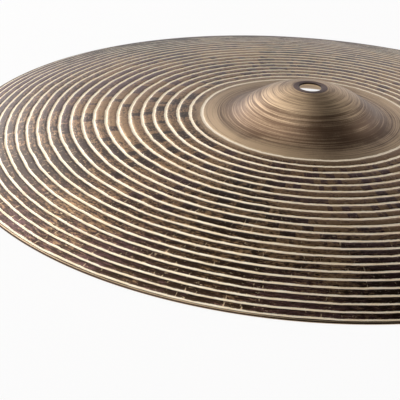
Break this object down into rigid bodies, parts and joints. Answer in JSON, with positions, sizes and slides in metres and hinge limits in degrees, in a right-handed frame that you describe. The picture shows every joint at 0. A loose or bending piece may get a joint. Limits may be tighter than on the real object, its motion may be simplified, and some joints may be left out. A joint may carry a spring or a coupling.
{
  "type": "crash cymbal",
  "caption": "Thin bowed bronze cymbal with a raised bell and a plain centre hole, lathed with spaced grooves.",
  "frame": {"origin": "on the cymbal's axis, in the plane that the rim rests on", "axes": "+Z along the cymbal's axis, from the rim up through the bell; X and Y lie in the rim's plane"},
  "size_m": [0.4064, 0.4064, 0.0408],
  "materials": {
    "bronze": "lathed and patinated"
  },
  "bodies": {
    "root": {"cymbal": "bronze"}
  },
  "joints": []
}
